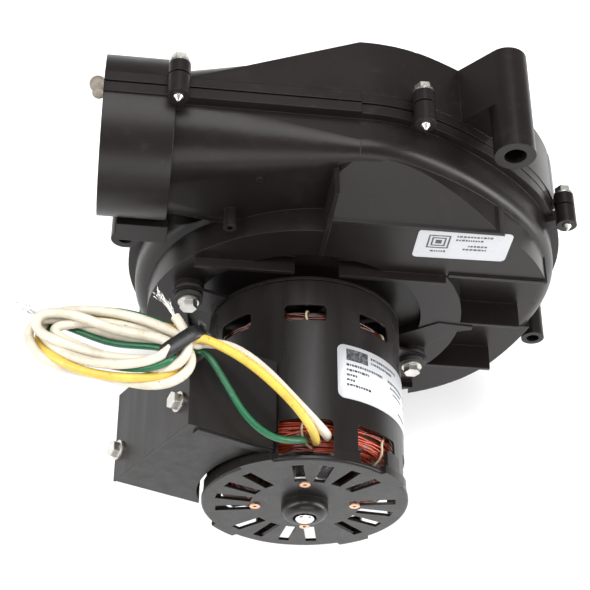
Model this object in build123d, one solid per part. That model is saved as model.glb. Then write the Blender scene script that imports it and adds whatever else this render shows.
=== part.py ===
from build123d import *
import math
import os

# Draft-inducer combustion fan. Everything is modelled on the bench, in mm: the shaft stands along
# +Z from the mounting plane (0) up to the motor's free end, +X is to the right and +Y is the side
# of the straight rim. write() turns it to its installed position, with the shaft level along -Y.

# ---- driving dimensions: scroll housing ----
WALL = 3.0
PARTING = 32.0            # height of the joint between the two shells
SEAL_GAP = 0.8            # space that the rim seal fills
ROOF = 54.0               # outer height of the scroll
DRUM_TOP = 66.0
DRUM_R = 70.0
RIM_OUT = 3.6             # how far the joint's flange stands out of the wall
RIM_LOW, RIM_HIGH = 27.0, 37.0
BACK_OUT = 3.9            # the back shell's wall stands out a little farther than the flange
TOP_EDGE = 108.0          # the straight side, as Y
# (angle from +X, outer radius) of the scroll, from the tongue round to the straight side
SCROLL = ((146, 74), (180, 76), (212, 80), (250, 92), (280, 100), (310, 106),
          (335, 109), (360, 110), (400, 110), (430, 109))
THROAT_START = 8.0        # X where the outlet throat leaves the scroll
THROAT_END = -65.5
THROAT_Y, THROAT_Z = 77.3, 33.0             # middle of the throat's end, inside the collar
THROAT_WIDE, THROAT_DEEP, THROAT_CORNER = 61.5, 50.2, 24.5
COLLAR_END = -93.8
COLLAR_Y, COLLAR_Z, COLLAR_R = 79.0, 33.0, 32.8
INLET_R = 36.0
WELL_R, WELL_TOP = 52.0, 62.0
SHAFT_HOLE_R = 12.5
PLATEAU_LOW, PLATEAU_HIGH = 44.0, 80.0
PLATEAU_IN = 3.5          # the plateau and the sloping roof stop this far inside the outline

# ---- fasteners and bosses ----
# (angle, radius) of the screws that join the shells
RIM_SCREWS = ((118.8, 134.7), (73.7, 118.0), (26.1, 120.3), (298, 113.5), (262, 104.0),
              (222, 92.0))
RIM_BOSS_R, RIM_SCREW_R = 4.4, 1.9
RIM_BOSS_LOW, RIM_BOSS_HIGH = 26.0, 41.5
# name: (x, y, outer radius, hole radius) of the four mounting bosses
MOUNT_BOSSES = {
    "upper": (70.0, 108.5, 8.4, 4.5),
    "right": (114.0, -28.4, 5.4, 3.0),
    "left": (-81.5, 30.0, 6.3, 3.0),
    "lower": (-38.0, -93.0, 6.3, 3.0),
}
MOUNT_BOSS_TOP = 50.0

# ---- motor ----
MOTOR_R = 42.0
STEEL_T = 1.0
MOTOR_LOW, MOTOR_HIGH = 72.0, 150.6
CAP_R, CAP_TOP = 43.0, 156.0
CAP_T = 1.2
DOME_R = 9.8
SHAFT_R = 3.97
SHAFT_LOW, SHAFT_HIGH = 16.0, 163.0
STACK_LOW, STACK_HIGH = 98.0, 130.0
BORE_R = 22.6             # stator bore; the rotor runs 0.5 mm inside it
ROTOR_R = 22.1
WINDOW_START, WINDOW_STEP, WINDOWS = 52.0, 45.0, 8
CAP_GROUPS = (74, -16, -106, 164)
TAB_ANGLES = (42, 124, -53, -136)
EAR_ANGLES = (-22, -112, 158)
EAR_R = 57.0
RIVET_R = 20.7

# ---- impeller ----
WHEEL_R, WHEEL_EYE = 60.0, 40.0
WHEEL_LOW, WHEEL_HIGH = 13.0, 46.0
BLADES = 36

# ---- terminal box, on the side of the motor ----
BOX_ANGLE = 154.0
BOX_NEAR, BOX_FAR = 33.0, 72.0
BOX_LEFT, BOX_RIGHT = -29.2, 31.3
BOX_LOW, BOX_HIGH = 112.0, 151.5
BOX_T = 1.0
BOX_SCREWS = (-22.0, 28.0)  # where they stand across the cover
BOX_SCREW_Z = 139.2

# ---- leads: hand-set routes from inside the motor window to the tie ----
WHITE_D, YELLOW_D, GREEN_D = 3.9, 3.6, 2.7
WHITE = ((3.9, 38, 142.9), (2.7, 46, 146.3), (-11.5, 55.5, 136.9), (-24.8, 60.3, 125.6),
         (-37, 63, 118.8), (-48.3, 67, 120.6))
YELLOW = ((-0.6, 38, 145.6), (-3.2, 52.7, 149.0), (-12.2, 59.3, 140.2), (-26.3, 64.3, 129.6),
          (-38, 67.5, 123.6), (-49.5, 71.5, 121))
GREEN = ((-4.6, 38, 145.2), (-6.8, 48.3, 150.6), (-19, 53.5, 154), (-30.5, 56.8, 147),
         (-38.7, 60.6, 134.8), (-45.8, 63.2, 124.2), (-48.9, 63.2, 121.9))
COIL_CENTRE = (-84.4, 61.5, 120.0)
COIL_LONG, COIL_SHORT, COIL_THICK, COIL_BAND = 38.6, 22.0, 14.0, 13.0
COIL_LEFT = (-0.949, -0.175, -0.26)   # direction of the coil's long axis
TIE_AT = (-54.8, 67.0, 121.6)
TIE_AXIS = (-0.595, -0.139, -0.792)


def polar(radius, degrees, z=0.0):
    """The point at that radius and angle round the shaft."""
    turn = math.radians(degrees)
    return Vector(radius * math.cos(turn), radius * math.sin(turn), z)


def spot(radius, degrees):
    """The same point as plain x and y."""
    place = polar(radius, degrees)
    return place.X, place.Y


def disc(radius, low, high, x=0.0, y=0.0):
    """An upright cylinder between two heights."""
    return Pos(x, y, (low + high) / 2) * Cylinder(radius, high - low)


def ring(outer, inner, low, high, x=0.0, y=0.0):
    """An upright tube between two heights."""
    return disc(outer, low, high, x, y) - disc(inner, low - 1, high + 1, x, y)


def block(x0, x1, y0, y1, z0, z1):
    """A box between two corners."""
    return Pos((x0 + x1) / 2, (y0 + y1) / 2, (z0 + z1) / 2) * Box(x1 - x0, y1 - y0, z1 - z0)


def around(degrees, shape):
    return Rot(0, 0, degrees) * shape


def write(name, *shapes):
    """Turns the pieces from the bench to the installed position and writes them as one node."""
    placed = []
    for shape in shapes:
        placed += [Plane.XZ.location * solid for solid in shape.solids()]
    whole = placed[0] if len(placed) == 1 else Compound(children=placed)
    export_step(whole, f"parts/{name}.step")


# ---------------------------------------------------------------- scroll housing

def scroll(inset, low, high):
    """The scroll's outline, drawn in by inset, between two heights."""
    corner = Vector(THROAT_START, TOP_EDGE - inset)
    places = [polar(radius - inset, angle) for angle, radius in SCROLL] + [corner]
    way = polar(1, SCROLL[0][0] + 88)
    arcs = []
    for start, end in zip(places, places[1:]):
        arcs.append(TangentArc(start, end, tangent=way))
        way = arcs[-1] % 1
    outline = Face(Wire(arcs + [Line(corner, places[0])]))
    return Pos(0, 0, low) * extrude(outline, high - low)


def rounded_scroll(inset, low, high, radius):
    """The scroll with the edge of its roof rounded."""
    body = scroll(inset, low, high)
    roof_edges = body.faces().sort_by(Axis.Z)[-1].edges()
    return fillet(roof_edges.filter_by(GeomType.LINE, reverse=True), radius)


def throat(inset):
    """The duct from the scroll to the outlet collar, flat-sided at first and round-cornered last."""
    start = Plane(origin=(THROAT_START, TOP_EDGE - 34, ROOF / 2), x_dir=(0, 1, 0), z_dir=(1, 0, 0))
    end = Plane(origin=(THROAT_END - inset, THROAT_Y, THROAT_Z), x_dir=(0, 1, 0), z_dir=(1, 0, 0))
    wide = start * RectangleRounded(68 - 2 * inset, ROOF - 2 * inset, 6.5 - inset)
    tight = end * RectangleRounded(THROAT_WIDE - 2 * inset, THROAT_DEEP - 2 * inset, THROAT_CORNER - inset)
    return loft([wide.face(), tight.face()])


def along_x(radius, x0, x1):
    """A round bar on the collar's axis."""
    return Pos((x0 + x1) / 2, COLLAR_Y, COLLAR_Z) * Rot(0, 90, 0) * Cylinder(radius, x1 - x0)


def back_bulge(inset):
    """The back shell's fuller wall, ending in a wedge that thins out along the throat."""
    top = RIM_LOW - inset / 3
    wall = scroll(inset - BACK_OUT, inset, top)
    high = TOP_EDGE + BACK_OUT - inset
    slope = Polyline((THROAT_START, inset), (THROAT_START, top), (THROAT_END + 3.5 + 3 * inset, top),
                     close=True)
    wedge = Pos(0, high, 0) * extrude(Plane.XZ * make_face(slope), 22 - inset)
    return wall + wedge


def foot_terrace():
    """The flat foot at the lower right, square-edged where the rest of the roof is rounded."""
    return block(64, 112, -100, -12, ROOF - 8, ROOF) & scroll(0.6, ROOF - 9, ROOF + 1)


def label_plateau(inset):
    """The raised flat that carries the housing label."""
    flat = block(inset, 110, PLATEAU_LOW + inset, PLATEAU_HIGH, 40, DRUM_TOP - inset)
    return flat & scroll(PLATEAU_IN + inset, 39, 70)


def sloping_roof(inset):
    """The D-shaped face that falls from the plateau to the shoulder."""
    top, foot = DRUM_TOP - 1.1 * inset, ROOF - 2 - 1.1 * inset
    side = Polyline((PLATEAU_HIGH - 1, 40), (PLATEAU_HIGH - 1, top), (PLATEAU_HIGH, top),
                    (106, foot), (106, 40), close=True)
    profile = Plane.YZ * make_face(side)
    return (Pos(inset, 0, 0) * extrude(profile, 100)) & scroll(PLATEAU_IN + inset, 39, 70)


def housing_volume(inset):
    """The whole housing as one volume; drawn in by the wall thickness it is the air space."""
    volume = rounded_scroll(inset, inset, ROOF - inset, 7 - inset) + throat(inset)
    volume += back_bulge(inset)
    volume += disc(DRUM_R - inset, 30, DRUM_TOP - inset)
    volume += label_plateau(inset)
    volume += sloping_roof(inset)
    if inset:
        return volume + along_x(COLLAR_R - inset, COLLAR_END - 1, THROAT_END - inset)
    return volume + along_x(COLLAR_R, COLLAR_END, THROAT_END) + foot_terrace()


def rim_band(low, high, out=RIM_OUT):
    """The flange round the joint, out along the collar on both of its sides."""
    band = scroll(-out, low, high)
    half = COLLAR_R + out
    return band + block(COLLAR_END, THROAT_START, COLLAR_Y - half, TOP_EDGE + out + 1, low, high)


def boss_places():
    return [polar(radius, angle) for angle, radius in RIM_SCREWS]


def rim_bosses(low, high):
    """The screw bosses on the flange, each with a short web to the wall."""
    bosses = []
    for place in boss_places():
        bosses.append(disc(RIM_BOSS_R, low, high, place.X, place.Y))
        inward = math.degrees(math.atan2(place.Y, place.X)) + 180
        if place.X < THROAT_START and place.Y > 0:
            inward = 270
        web = Pos(place.X, place.Y, 0) * Rot(0, 0, inward) * block(0, 11, -2.6, 2.6, low + 2, high - 2)
        bosses.append(web)
    return bosses


def outer_ribs():
    """The ribs, lips and small posts moulded on the front shell."""
    lip = 1.8
    pieces = [
        block(0, 77, PLATEAU_HIGH - lip, PLATEAU_HIGH, ROOF, DRUM_TOP + 1.6),
        block(56, 99, PLATEAU_LOW, PLATEAU_LOW + lip, ROOF, DRUM_TOP + 1.0),
        block(69, 97, 5, 5 + lip, ROOF - 1, DRUM_TOP),
        block(61, 93, -34, -34 + lip, ROOF - 1, DRUM_TOP),
        block(30, 64, -73, -73 + lip, ROOF - 1, ROOF + 3),
        block(-66, -30, -72, -72 + lip, ROOF - 1, DRUM_TOP),
        block(-1.0, 0.8, WELL_R + 1, 99, ROOF - 1, DRUM_TOP + 1.2),
        block(9, 55, 42.2, 44, DRUM_TOP - 5, DRUM_TOP + 4),
        block(-52, -10, 42.2, 44, DRUM_TOP - 5, DRUM_TOP + 4),
    ]
    lug = Polyline((46, -34), (53, -23), (68, -1), (76, 2), (76, 4.5), (60, 6), (40, -10), close=True)
    pieces.append(Pos(0, 0, ROOF - 1) * extrude(make_face(lug), DRUM_TOP - ROOF + 1.5))
    bounds = scroll(2.5, ROOF - 6, DRUM_TOP + 6)
    trimmed = [piece & bounds for piece in pieces]
    trimmed.append(ring(2.6, 1.2, ROOF - 8, DRUM_TOP - 0.5, -39.5, 66))
    trimmed.append(disc(1.3, ROOF - 5, ROOF + 3, -30, 89))
    return trimmed


def mount_boss(name):
    """One mounting boss with the webs that tie it to the wall."""
    x, y, outer, _ = MOUNT_BOSSES[name]
    inward = math.degrees(math.atan2(y, x)) + 180
    if name == "upper":
        inward = 230
    reach, half = (20, outer) if name == "upper" else (17, 2.2)
    web = Pos(x, y, 0) * Rot(0, 0, inward) * block(0, reach, -half, half, 0, RIM_LOW)
    foot = Pos(x, y, 0) * Rot(0, 0, inward) * block(0, reach, -outer, outer, 0, 3)
    return [disc(outer, 0, MOUNT_BOSS_TOP, x, y), web, foot]


def mount_holes():
    return [disc(hole, -1, 60, x, y) for x, y, _, hole in MOUNT_BOSSES.values()]


def screw_holes(radius, low, high):
    return [disc(radius, low, high, place.X, place.Y) for place in boss_places()]


def back_shell(outer, inner):
    """The shell against the furnace panel, with the inlet eye and the mounting bosses."""
    split = PARTING - SEAL_GAP / 2
    solid = outer + rim_band(RIM_LOW, split) + rim_bosses(RIM_BOSS_LOW, split)
    for name in MOUNT_BOSSES:
        solid += mount_boss(name)
    below = block(-130, 130, -130, 130, -1, split)
    above_boss = [disc(outer_r, 0, MOUNT_BOSS_TOP, x, y) for x, y, outer_r, _ in MOUNT_BOSSES.values()]
    shell = (solid & below) + above_boss
    shell -= inner
    shell -= [disc(INLET_R + 4, -1, 5), ring(58, 50, -1, 1.2)] + mount_holes()
    shell -= screw_holes(5.0, -1, RIM_BOSS_LOW)
    return shell - screw_holes(RIM_SCREW_R + 0.1, 0, 40)


def front_shell(outer, inner):
    """The shell on the motor's side, with the drum, the motor well and the label plateau."""
    split = PARTING + SEAL_GAP / 2
    solid = outer + rim_band(split, RIM_HIGH) + rim_bosses(split, RIM_BOSS_HIGH)
    solid += block(THROAT_END - 20, THROAT_END + 1, 45.5, 57, split, 61)
    above = block(-130, 130, -130, 130, split, 90)
    shell = (solid & above) - inner
    shell -= disc(WELL_R, WELL_TOP, 90)
    shell += disc(WELL_R + WALL, WELL_TOP - WALL, WELL_TOP)
    shell += outer_ribs()
    posts = [polar(EAR_R, angle) for angle in EAR_ANGLES]
    shell += [disc(6.5, WELL_TOP - 2, 68, post.X, post.Y) for post in posts]
    shell -= [disc(1.9, 58, 69, post.X, post.Y) for post in posts]
    shell -= disc(SHAFT_HOLE_R, 50, 70)
    clear = [disc(r + 0.3, 0, MOUNT_BOSS_TOP + 1, x, y) for x, y, r, _ in MOUNT_BOSSES.values()]
    return shell - screw_holes(RIM_SCREW_R + 0.1, 30, 48) - clear


def rim_seal():
    """The flat cord of sealant between the shells, and the bead squeezed out at the collar."""
    low, high = PARTING - SEAL_GAP / 2, PARTING + SEAL_GAP / 2
    loop = rim_band(low, high, 1.6) - scroll(WALL - 0.6, low - 1, high + 1)
    half = COLLAR_R - 2.5
    loop -= block(COLLAR_END - 1, 30, COLLAR_Y - half, COLLAR_Y + half, low - 1, high + 1)
    loop -= [disc(r + 0.3, 0, 60, x, y) for x, y, r, _ in MOUNT_BOSSES.values()]
    loop -= screw_holes(RIM_SCREW_R + 0.1, 30, 48)
    top = COLLAR_Y + COLLAR_R
    bead = Pos(COLLAR_END - 2.2, top + 0.9, PARTING + 2.5) * Sphere(3.4)
    bead += Pos(COLLAR_END - 1.7, top - 0.8, PARTING + 5.5) * Sphere(2.6)
    bead -= block(COLLAR_END, 0, 60, 130, 0, 60)
    bead -= along_x(COLLAR_R - 0.6, COLLAR_END - 10, COLLAR_END)
    return [loop, bead]


def hex_screw(x, y, head_z, tip_z, shank, across, washer):
    """A hex-washer-head screw, with its head at head_z and its pointed tip at tip_z."""
    way = 1 if tip_z > head_z else -1
    length = abs(tip_z - head_z)
    body = disc(washer, -1.0, 0) + Pos(0, 0, -4.0) * extrude(RegularPolygon(across / 2, 6, False), 3.0)
    body += disc(shank, 0, length - 2)
    body += Pos(0, 0, length - 1) * Cone(shank, 0.4, 2)
    turned = body if way == 1 else Rot(180, 0, 0) * body
    return Pos(x, y, head_z) * turned


def rim_screws():
    return [hex_screw(place.X, place.Y, RIM_BOSS_LOW, RIM_BOSS_HIGH + 2.5, RIM_SCREW_R, 6.4, 4.3)
            for place in boss_places()]


def inlet_ring():
    """The bell-mouthed eye pressed into the back shell."""
    profile = Polyline((INLET_R, 0), (INLET_R + 4, 0), (INLET_R + 4, 5), (INLET_R + 2, 5),
                       (INLET_R + 1.2, 10.5), (INLET_R, 10.5), close=True)
    return revolve(Plane.XZ * make_face(profile), Axis.Z)


def housing_label():
    plate = extrude(RectangleRounded(39.4, 19.8, 2.2), 0.2)
    return Pos(57.0, 67.2, DRUM_TOP) * Rot(0, 0, 1.5) * plate


# ---------------------------------------------------------------- motor

def window(angle, width, low, high):
    """The cutter for one cooling window in the motor's shell."""
    half = width / 2
    cutter = block(MOTOR_R - 8, MOTOR_R + 4, -half, half, low, high)
    return around(angle, fillet(cutter.edges().filter_by(Axis.X), 1.5))


def lower_windows():
    """The cutters for the big windows beside the cap; the terminal box takes the place of one."""
    angles = [WINDOW_START + i * WINDOW_STEP for i in range(WINDOWS)]
    return [window(angle, 22.0, 137.5, 154.2) for angle in angles if not 130 < angle < 180]


def motor_shell():
    """The rolled steel band, with two rows of cooling windows."""
    shell = ring(MOTOR_R, MOTOR_R - STEEL_T, MOTOR_LOW, MOTOR_HIGH)
    for i in range(WINDOWS):
        angle = WINDOW_START + i * WINDOW_STEP
        shell -= window(angle, 17.5, 84, 91.5)
    return shell - lower_windows()


def end_bell():
    """The bell at the housing's end: plate, bearing hub and three mounting ears."""
    bell = disc(MOTOR_R, 70, 71.5) + disc(MOTOR_R - STEEL_T - 0.05, 71, 72.5)
    bell += [around(angle, block(30, EAR_R, -7, 7, 70, 71.5)) for angle in EAR_ANGLES]
    bell += [disc(7, 70, 71.5, *spot(EAR_R, angle)) for angle in EAR_ANGLES]
    bell += disc(10.5, 62.5, 70)
    bell -= disc(7.0, 60, 69)
    bell -= disc(5.2, 60, 80)
    bell -= [disc(4.0, 69, 73, *spot(EAR_R, angle)) for angle in EAR_ANGLES]
    vents = [around(22.5 + 45 * i, block(16, 34, -3.5, 3.5, 69, 73)) for i in range(8)]
    return bell - vents


def grommets():
    """Rubber grommets in the ears, spool-shaped."""
    made = []
    for angle in EAR_ANGLES:
        x, y = spot(EAR_R, angle)
        made.append(disc(6, 68, 70, x, y) + disc(4.0, 69, 73, x, y) + disc(6, 71.5, 73.5, x, y)
                    - disc(2.3, 60, 80, x, y))
    return made


def motor_mount_screws():
    places = [polar(EAR_R, angle) for angle in EAR_ANGLES]
    return [hex_screw(p.X, p.Y, 73.5, 60, 1.85, 6.4, 4.6) for p in places]


def end_cap():
    """The slotted cap with its raised bearing dome and four crimped tabs."""
    cap = disc(CAP_R, 150, CAP_TOP) - disc(CAP_R - CAP_T + 0.2, 149, CAP_TOP - CAP_T)
    cap = fillet(cap.edges().group_by(Axis.Z)[-1], 1.0)
    cap -= lower_windows()
    for angle in TAB_ANGLES:
        tab = ring(CAP_R + 0.7, MOTOR_R, 145, 154) & around(angle, block(30, 50, -4.5, 4.5, 144, 155))
        ledge = ring(CAP_R + 1.6, CAP_R - 1, 152.5, CAP_TOP) & around(angle, block(30, 50, -7, 7, 150, 160))
        cap += [tab, ledge]
    slots = []
    for group in CAP_GROUPS:
        for offset in (-28, -9.3, 9.3, 28):
            slots.append(around(group + offset, block(22.7, 37.6, -2.3, 2.3, 150, 160)))
    cap -= slots
    dome = disc(DOME_R, CAP_TOP - CAP_T, CAP_TOP + 6.0)
    dome = fillet(dome.edges().group_by(Axis.Z)[-1], 3.6)
    cap += dome
    cap -= disc(DOME_R - 1.4, 148, CAP_TOP + 1.5)
    cap -= disc(5.0, 148, CAP_TOP + 8)
    return cap - [disc(1.5, 150, 160, *spot(RIVET_R, 97.5 + 90 * i)) for i in range(4)]


def cap_rivets():
    """Four dimpled rivets that hold the bearing retainer to the cap."""
    rivets = []
    for i in range(4):
        x, y = spot(RIVET_R, 97.5 + 90 * i)
        rivet = disc(1.5, 153.4, CAP_TOP, x, y) + disc(2.2, CAP_TOP, CAP_TOP + 0.7, x, y)
        rivets.append(rivet - disc(0.8, CAP_TOP - 0.4, 160, x, y))
    return rivets


def bearing_retainer(low):
    """A spring-steel ring behind the rear bearing, held by the rivets."""
    plate = disc(23.0, low, low + 0.8) - disc(8.5, low - 1, low + 2)
    holes = [disc(1.5, low - 1, low + 2, *spot(RIVET_R, 97.5 + 90 * i)) for i in range(4)]
    gaps = [around(52.5 + 90 * i, block(11, 30, -9, 9, low - 1, low + 2)) for i in range(4)]
    return plate - holes - gaps


def sleeve_bearing(radius, low, high):
    return ring(radius, SHAFT_R + 0.03, low, high)


def stator_core():
    """The laminated stack: a ring with eight closed slots for the windings."""
    core = ring(MOTOR_R - STEEL_T, BORE_R, STACK_LOW, STACK_HIGH)
    return core - [around(22.5 + 45 * i, block(25.5, 36, -4, 4, 90, 140)) for i in range(8)]


def stator_winding():
    """Both end turns, joined by bars through the slots."""
    turns = ring(37.5, 24.5, 85, STACK_LOW) + ring(37.5, 24.5, STACK_HIGH, 144.5)
    turns = fillet(turns.edges().filter_by(GeomType.CIRCLE).group_by(Axis.Z)[0], 3)
    turns = fillet(turns.edges().filter_by(GeomType.CIRCLE).group_by(Axis.Z)[-1], 3)
    bars = [around(22.5 + 45 * i, block(25.8, 35.7, -3.7, 3.7, STACK_LOW - 1, STACK_HIGH + 1))
            for i in range(8)]
    return turns + bars


def through_bolts():
    """Two long bolts that clamp the stack between the bell and the cap."""
    made = []
    for angle in (7, 187):
        x, y = spot(39.2, angle)
        made.append(disc(1.3, 72.5, STACK_LOW, x, y) + disc(1.3, STACK_HIGH, 154.6, x, y))
    return made


def thermal_protector():
    """The overheat cutout laid on the end turns."""
    x, y = spot(31, 205)
    pill = Pos(x, y, 148) * Rot(0, 0, 115) * Box(13, 7, 4)
    return fillet(pill.edges(), 1.2)


def motor_label():
    """The rating label, wrapped part-way round the shell."""
    wrap = ring(MOTOR_R + 0.2, MOTOR_R, 101.5, 126.5)
    span = [polar(60, angle) for angle in (-9, 20, 50, 79)]
    sector = Polyline((0, 0), *[(p.X, p.Y) for p in span], close=True)
    return wrap & (Pos(0, 0, 90) * extrude(make_face(sector), 50))


# ---------------------------------------------------------------- rotating parts

def shaft():
    rod = disc(SHAFT_R, SHAFT_LOW, SHAFT_HIGH)
    return chamfer(rod.edges().filter_by(GeomType.CIRCLE), 0.6)


def rotor_core():
    return ring(ROTOR_R, SHAFT_R, STACK_LOW, STACK_HIGH)


def rotor_end_rings():
    """The cast rings of the squirrel cage, with short fan pegs."""
    low = ring(20.5, 12, STACK_LOW - 5, STACK_LOW)
    high = ring(20.5, 12, STACK_HIGH, STACK_HIGH + 5)
    pegs = [disc(1.2, STACK_HIGH + 4.5, STACK_HIGH + 9, *spot(17, 45 * i)) for i in range(8)]
    return [low, high + pegs]


def thrust_washers():
    return [ring(6.6, SHAFT_R, low, low + 1.0) for low in (72.8, 150.6)]


def cooling_fan():
    """The small paddle fan that draws air through the motor."""
    fan = ring(8, SHAFT_R, 74, 82) + ring(18, 7, 74, 75.2)
    paddles = [around(60 * i, block(7, 36, -0.6, 0.6, 74, 82)) for i in range(6)]
    return fan + paddles


def impeller_hub():
    hub = ring(9, SHAFT_R, 36, 54) + ring(16, SHAFT_R, WHEEL_HIGH + 1.2, WHEEL_HIGH + 2.6)
    return hub - Pos(6.5, 0, 51.4) * Rot(0, 90, 0) * Cylinder(1.6, 6.5)


def impeller_set_screw():
    return Pos(6.6, 0, 51.4) * Rot(0, 90, 0) * Cylinder(1.55, 5.2)


def impeller_backplate():
    plate = ring(WHEEL_R, 9.0, WHEEL_HIGH, WHEEL_HIGH + 1.2)
    return plate - [disc(3, 40, 50, *spot(26, 60 * i)) for i in range(6)]


def impeller_shroud():
    return ring(WHEEL_R, WHEEL_EYE, WHEEL_LOW - 1.2, WHEEL_LOW)


def impeller_blades():
    """Forward-curved blades, each a bent strip between the shroud and the backplate."""
    inner, outer = WHEEL_EYE + 4, WHEEL_R - 0.5
    middle = (inner + outer) / 2
    outside = ThreePointArc(polar(inner, 0), polar(middle, -3.4), polar(outer, 2))
    inside = ThreePointArc(polar(outer, 3.2), polar(middle, -2.2), polar(inner, 1.4))
    ends = [Line(polar(outer, 2), polar(outer, 3.2)), Line(polar(inner, 1.4), polar(inner, 0))]
    strip = Face(Wire([outside, ends[0], inside, ends[1]]))
    blade = Pos(0, 0, WHEEL_LOW) * extrude(strip, WHEEL_HIGH - WHEEL_LOW)
    return [around(360 / BLADES * i, blade) for i in range(BLADES)]


# ---------------------------------------------------------------- terminal box

def on_box(shape):
    """From the box's own frame (x out from the shaft, y along its face) to the bench."""
    return Rot(0, 0, BOX_ANGLE) * shape


def terminal_box():
    """The folded steel box: side walls, floor and roof, open towards its cover."""
    body = block(BOX_NEAR, BOX_FAR, BOX_LEFT, BOX_RIGHT, BOX_LOW, BOX_HIGH)
    body -= block(BOX_NEAR - 1, BOX_FAR + 1, BOX_LEFT + BOX_T, BOX_RIGHT - BOX_T,
                  BOX_LOW + BOX_T, BOX_HIGH - BOX_T)
    body -= disc(MOTOR_R, 90, 170) + disc(CAP_R + 2, 144, 170)
    strap = block(BOX_NEAR, BOX_FAR - 4, BOX_LEFT + BOX_T, BOX_LEFT + 4.5, BOX_HIGH, BOX_HIGH + 0.9)
    strap -= disc(MOTOR_R + 2, 90, 170)
    return on_box(body) + on_box(strap)


def box_cover():
    """The cover on the box's outer face, with turned-in edges."""
    plate = block(BOX_FAR, BOX_FAR + 1, BOX_LEFT - 0.2, BOX_RIGHT + 0.2, BOX_LOW - 0.2, BOX_HIGH + 0.2)
    lips = block(BOX_FAR - 5, BOX_FAR, BOX_LEFT + BOX_T, BOX_LEFT + BOX_T + 0.9, 115, 148)
    lips += block(BOX_FAR - 5, BOX_FAR, BOX_RIGHT - BOX_T - 0.9, BOX_RIGHT - BOX_T, 115, 148)
    cover = plate + lips
    cover -= [Pos(BOX_FAR, y, BOX_SCREW_Z) * Rot(0, 90, 0) * Cylinder(2.1, 12) for y in BOX_SCREWS]
    return on_box(cover)


def box_screws():
    """Two hex-washer screws through the cover."""
    made = []
    for y in BOX_SCREWS:
        screw = Rot(0, -90, 0) * hex_screw(0, 0, 0, 9, 2.0, 6.2, 4.2)
        made.append(on_box(Pos(BOX_FAR + 1, y, BOX_SCREW_Z) * screw))
    return made


def ground_screw():
    """The green earthing screw inside the box, through its roof."""
    return on_box(hex_screw(54, 16, BOX_LOW + BOX_T + 1, BOX_LOW - 5, 1.9, 6.0, 4.0))


# ---------------------------------------------------------------- leads

def corner_radii(points):
    """The largest arc that each corner of a route has room for."""
    radii = []
    for before, at, after in zip(points, points[1:], points[2:]):
        shorter = min((at - before).length, (after - at).length)
        turn = math.radians((at - before).get_angle(after - at))
        radii.append(0.45 * shorter / math.tan(turn / 2))
    return radii


def lead(name, route, diameter):
    """A lead from the motor's window to the tie, as straight runs joined by tangent arcs."""
    points = [Vector(*place) for place in route]
    radii = corner_radii(points)
    path = FilletPolyline(*points, radius=radii)
    start = Plane(origin=points[0], z_dir=points[1] - points[0])
    tube = sweep(start * Circle(diameter / 2), path=path)
    expected = math.pi * diameter ** 2 / 4 * path.length
    print(name, "radii", [round(r, 1) for r in radii], "length", round(path.length, 1),
          "volume ratio", round(tube.volume / expected, 4))
    return tube


def coil_plane():
    """The plane that the coil lies in: x along its length, z across its turns."""
    left = Vector(*COIL_LEFT).normalized()
    up = Vector(0, 1, 0)
    normal = (up - left * up.dot(left)).normalized()
    return Plane(origin=COIL_CENTRE, x_dir=left, z_dir=normal)


def lead_coil():
    """The outer shape of the tied hank of leads."""
    outside = extrude(Ellipse(COIL_LONG, COIL_SHORT), COIL_THICK / 2, both=True)
    inside = extrude(Ellipse(COIL_LONG - COIL_BAND, COIL_SHORT - COIL_BAND), COIL_THICK, both=True)
    return coil_plane() * (fillet(outside.edges(), 5) - inside)


def cable_tie():
    """The nylon tie round the coil's near end, with its square head."""
    place = Plane(origin=TIE_AT, x_dir=(0, 1, 0), z_dir=TIE_AXIS)
    band = extrude(RectangleRounded(15.6, 17.0, 5), 2.4, both=True)
    band -= extrude(RectangleRounded(13.2, 14.6, 4), 3, both=True)
    head = Pos(1, 9.6, 0) * Box(6, 4.4, 6.4)
    return place * (band + fillet(head.edges(), 0.8))


def lead_ends():
    """The stripped and tinned ends of the leads, lying on the coil."""
    ends = []
    for start, way in (((-108, 62, 101.5), (-0.97, -0.12, -0.2)), ((-74, 67.5, 101), (0.75, 0.1, 0.62))):
        base = Plane(origin=start, z_dir=way)
        ends.append(base * (Pos(0, 0, 6.5) * Cylinder(1.2, 13)))
    return ends


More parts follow.
